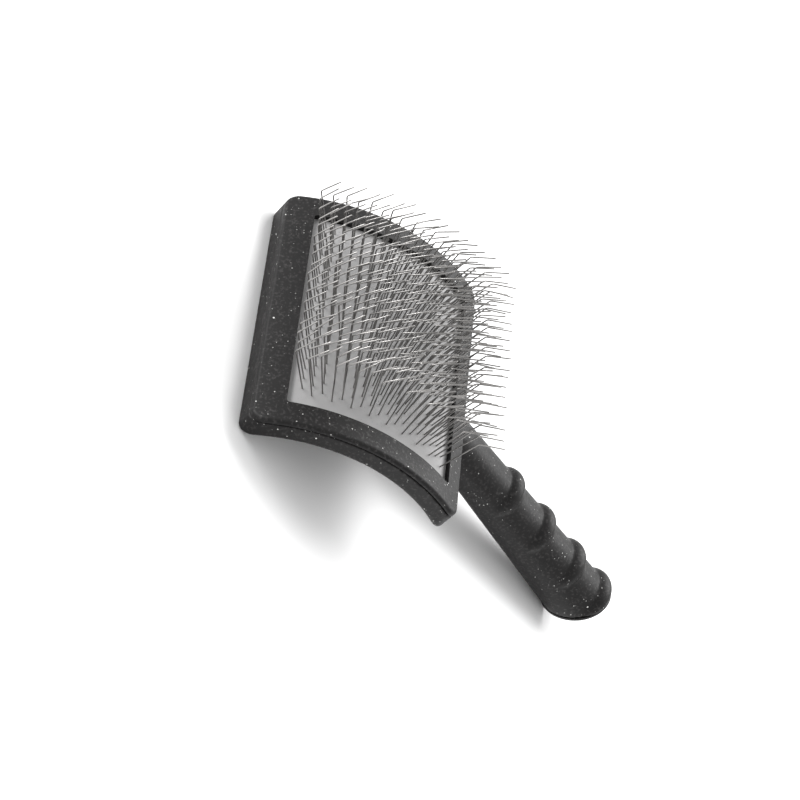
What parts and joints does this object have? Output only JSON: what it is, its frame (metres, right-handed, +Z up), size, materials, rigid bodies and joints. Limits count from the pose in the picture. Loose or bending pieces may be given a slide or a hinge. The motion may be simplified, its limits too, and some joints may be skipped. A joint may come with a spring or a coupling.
{
  "type": "slicker brush",
  "caption": "Arched slicker brush for pets: bent steel wires in a cushioned pad, framed in a rectangular head, on a handle with finger ribs.",
  "frame": {"origin": "on the surface that the brush rests on, lying on its back, under the middle of its box", "axes": "+X across the head, +Y from the head to the butt, +Z up, the way the wires point"},
  "size_m": [0.11, 0.2131, 0.0645],
  "materials": {
    "body_plastic": "charcoal moulded plastic with a fine texture and sparse silver flecks",
    "pad_rubber": "smooth matt grey rubber facing",
    "pad_cloth": "layered cotton cloth",
    "pad_foam": "closed-cell foam",
    "wire_steel": "drawn steel wire"
  },
  "bodies": {
    "brush_body": {"back_shell": "body_plastic", "front_frame": "body_plastic", "handle_cap": "body_plastic", "pad_skin": "pad_rubber", "pad_cloth": "pad_cloth", "pad_foam": "pad_foam"},
    "row_01": {"wire_row_01": "wire_steel"},
    "row_02": {"wire_row_02": "wire_steel"},
    "row_03": {"wire_row_03": "wire_steel"},
    "row_04": {"wire_row_04": "wire_steel"},
    "row_05": {"wire_row_05": "wire_steel"},
    "row_06": {"wire_row_06": "wire_steel"},
    "row_07": {"wire_row_07": "wire_steel"},
    "row_08": {"wire_row_08": "wire_steel"},
    "row_09": {"wire_row_09": "wire_steel"},
    "row_10": {"wire_row_10": "wire_steel"},
    "row_11": {"wire_row_11": "wire_steel"},
    "row_12": {"wire_row_12": "wire_steel"},
    "row_13": {"wire_row_13": "wire_steel"},
    "row_14": {"wire_row_14": "wire_steel"},
    "row_15": {"wire_row_15": "wire_steel"},
    "row_16": {"wire_row_16": "wire_steel"},
    "row_17": {"wire_row_17": "wire_steel"},
    "row_18": {"wire_row_18": "wire_steel"}
  },
  "joints": [
    {"name": "row_01_flex", "type": "hinge", "parent": "brush_body", "child": "row_01", "pos_m": [0, -0.08861, 0.01878], "axis": [1, 0, 0], "range_deg": [-8, 8], "stiffness_Nm_per_rad": 0.6, "deforming": ["pad_skin", "pad_cloth"]},
    {"name": "row_02_flex", "type": "hinge", "parent": "brush_body", "child": "row_02", "pos_m": [0, -0.08592, 0.02113], "axis": [1, 0, 0], "range_deg": [-8, 8], "stiffness_Nm_per_rad": 0.6, "deforming": ["pad_skin", "pad_cloth"]},
    {"name": "row_03_flex", "type": "hinge", "parent": "brush_body", "child": "row_03", "pos_m": [0, -0.08312, 0.02334], "axis": [1, 0, 0], "range_deg": [-8, 8], "stiffness_Nm_per_rad": 0.6, "deforming": ["pad_skin", "pad_cloth"]},
    {"name": "row_04_flex", "type": "hinge", "parent": "brush_body", "child": "row_04", "pos_m": [0, -0.08021, 0.02541], "axis": [1, 0, 0], "range_deg": [-8, 8], "stiffness_Nm_per_rad": 0.6, "deforming": ["pad_skin", "pad_cloth"]},
    {"name": "row_05_flex", "type": "hinge", "parent": "brush_body", "child": "row_05", "pos_m": [0, -0.07721, 0.02733], "axis": [1, 0, 0], "range_deg": [-8, 8], "stiffness_Nm_per_rad": 0.6, "deforming": ["pad_skin", "pad_cloth"]},
    {"name": "row_06_flex", "type": "hinge", "parent": "brush_body", "child": "row_06", "pos_m": [0, -0.07411, 0.02911], "axis": [1, 0, 0], "range_deg": [-8, 8], "stiffness_Nm_per_rad": 0.6, "deforming": ["pad_skin", "pad_cloth"]},
    {"name": "row_07_flex", "type": "hinge", "parent": "brush_body", "child": "row_07", "pos_m": [0, -0.07094, 0.03073], "axis": [1, 0, 0], "range_deg": [-8, 8], "stiffness_Nm_per_rad": 0.6, "deforming": ["pad_skin", "pad_cloth"]},
    {"name": "row_08_flex", "type": "hinge", "parent": "brush_body", "child": "row_08", "pos_m": [0, -0.06768, 0.0322], "axis": [1, 0, 0], "range_deg": [-8, 8], "stiffness_Nm_per_rad": 0.6, "deforming": ["pad_skin", "pad_cloth"]},
    {"name": "row_09_flex", "type": "hinge", "parent": "brush_body", "child": "row_09", "pos_m": [0, -0.06436, 0.03351], "axis": [1, 0, 0], "range_deg": [-8, 8], "stiffness_Nm_per_rad": 0.6, "deforming": ["pad_skin", "pad_cloth"]},
    {"name": "row_10_flex", "type": "hinge", "parent": "brush_body", "child": "row_10", "pos_m": [0, -0.06098, 0.03465], "axis": [1, 0, 0], "range_deg": [-8, 8], "stiffness_Nm_per_rad": 0.6, "deforming": ["pad_skin", "pad_cloth"]},
    {"name": "row_11_flex", "type": "hinge", "parent": "brush_body", "child": "row_11", "pos_m": [0, -0.05755, 0.03563], "axis": [1, 0, 0], "range_deg": [-8, 8], "stiffness_Nm_per_rad": 0.6, "deforming": ["pad_skin", "pad_cloth"]},
    {"name": "row_12_flex", "type": "hinge", "parent": "brush_body", "child": "row_12", "pos_m": [0, -0.05407, 0.03643], "axis": [1, 0, 0], "range_deg": [-8, 8], "stiffness_Nm_per_rad": 0.6, "deforming": ["pad_skin", "pad_cloth"]},
    {"name": "row_13_flex", "type": "hinge", "parent": "brush_body", "child": "row_13", "pos_m": [0, -0.05056, 0.03707], "axis": [1, 0, 0], "range_deg": [-8, 8], "stiffness_Nm_per_rad": 0.6, "deforming": ["pad_skin", "pad_cloth"]},
    {"name": "row_14_flex", "type": "hinge", "parent": "brush_body", "child": "row_14", "pos_m": [0, -0.04702, 0.03753], "axis": [1, 0, 0], "range_deg": [-8, 8], "stiffness_Nm_per_rad": 0.6, "deforming": ["pad_skin", "pad_cloth"]},
    {"name": "row_15_flex", "type": "hinge", "parent": "brush_body", "child": "row_15", "pos_m": [0, -0.04346, 0.03782], "axis": [1, 0, 0], "range_deg": [-8, 8], "stiffness_Nm_per_rad": 0.6, "deforming": ["pad_skin", "pad_cloth"]},
    {"name": "row_16_flex", "type": "hinge", "parent": "brush_body", "child": "row_16", "pos_m": [0, -0.03989, 0.03794], "axis": [1, 0, 0], "range_deg": [-8, 8], "stiffness_Nm_per_rad": 0.6, "deforming": ["pad_skin", "pad_cloth"]},
    {"name": "row_17_flex", "type": "hinge", "parent": "brush_body", "child": "row_17", "pos_m": [0, -0.03633, 0.03788], "axis": [1, 0, 0], "range_deg": [-8, 8], "stiffness_Nm_per_rad": 0.6, "deforming": ["pad_skin", "pad_cloth"]},
    {"name": "row_18_flex", "type": "hinge", "parent": "brush_body", "child": "row_18", "pos_m": [0, -0.03276, 0.03765], "axis": [1, 0, 0], "range_deg": [-8, 8], "stiffness_Nm_per_rad": 0.6, "deforming": ["pad_skin", "pad_cloth"]}
  ]
}
